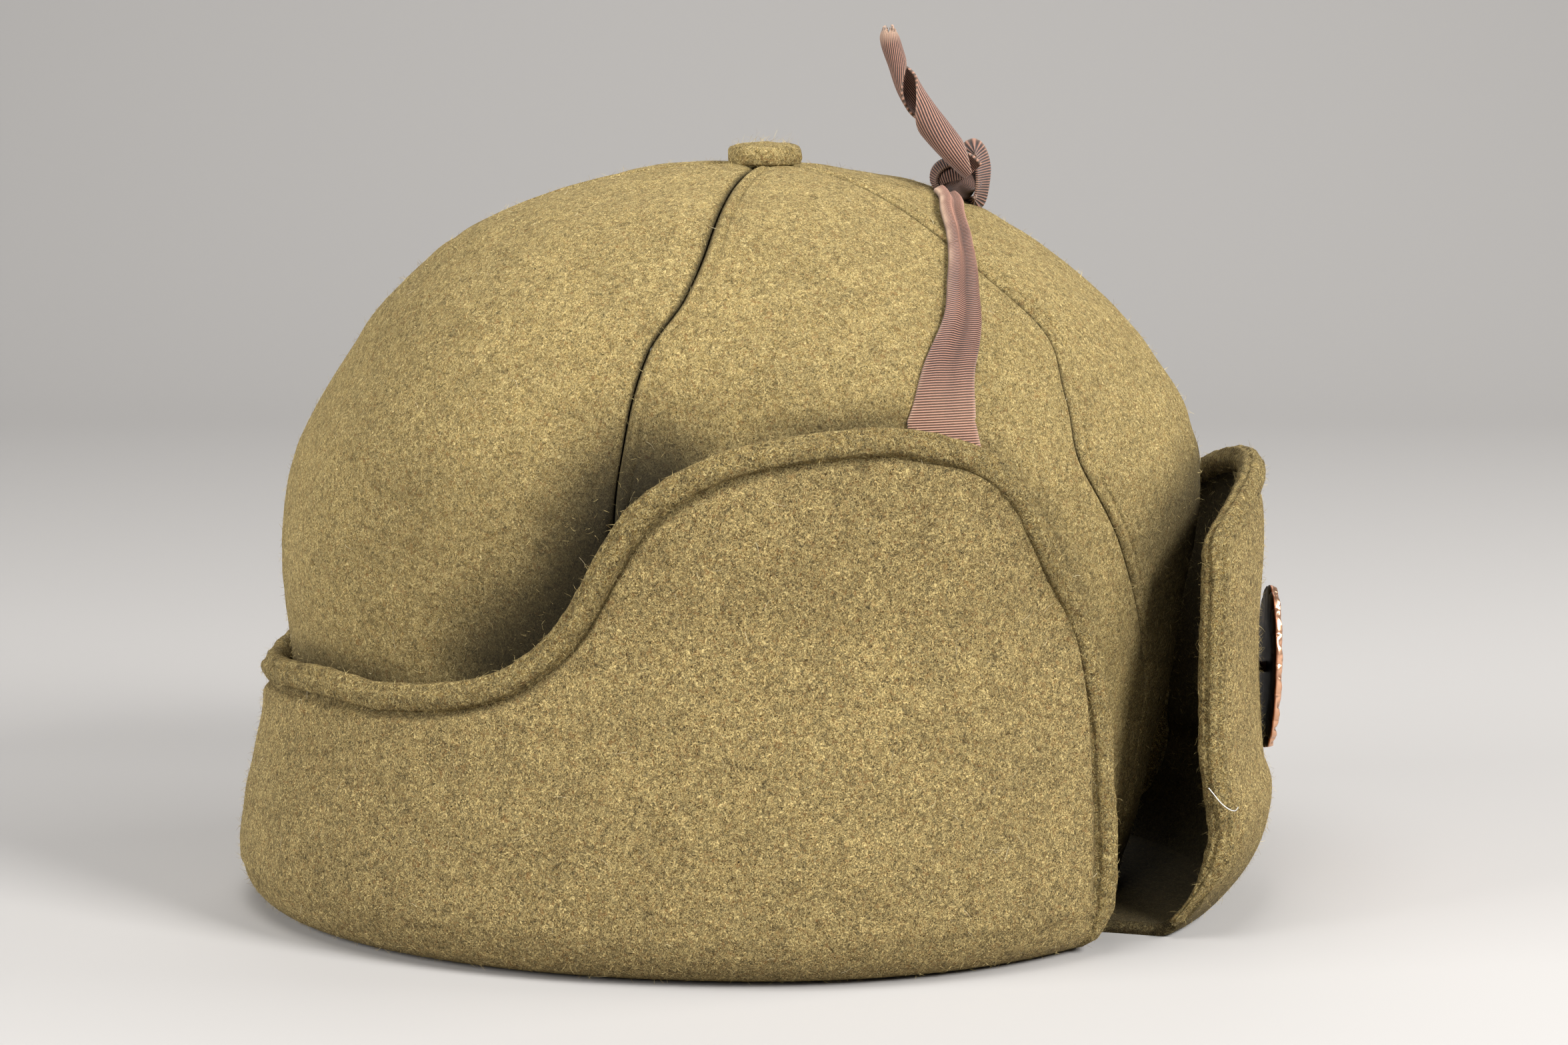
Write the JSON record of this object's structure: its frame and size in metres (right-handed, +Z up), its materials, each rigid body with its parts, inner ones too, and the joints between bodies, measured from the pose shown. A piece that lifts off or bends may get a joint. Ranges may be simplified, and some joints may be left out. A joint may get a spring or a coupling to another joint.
{
  "type": "winter service cap",
  "caption": "Wool winter cap with a domed seamed crown, folded-up neck and ear flaps tied over the top with ribbons, a turned-up visor and a badge.",
  "frame": {"origin": "middle of the cap's length and width, on the surface it stands on", "axes": "+X to the front of the cap, along its length, +Y to the wearer's left, +Z up"},
  "size_m": [0.258, 0.1916, 0.2143],
  "materials": {
    "crown_wool": "felted, matt",
    "flap_wool": "felted, matt",
    "copper_alloy": "cast, worn satin",
    "grosgrain": "ribbed, low sheen"
  },
  "bodies": {
    "root": {"crown_gore_front": "crown_wool", "crown_gore_left_side": "crown_wool", "crown_gore_left_back": "crown_wool", "crown_gore_right_back": "crown_wool", "crown_gore_right_side": "crown_wool", "top_button": "crown_wool", "neck_ear_flaps": "flap_wool", "visor": "flap_wool", "badge": "copper_alloy", "badge_nut": "copper_alloy", "tie_ribbon_right": "grosgrain", "tie_ribbon_left": "grosgrain", "tie_knot": "grosgrain", "tie_loop": "grosgrain", "tie_tail": "grosgrain"}
  },
  "joints": []
}
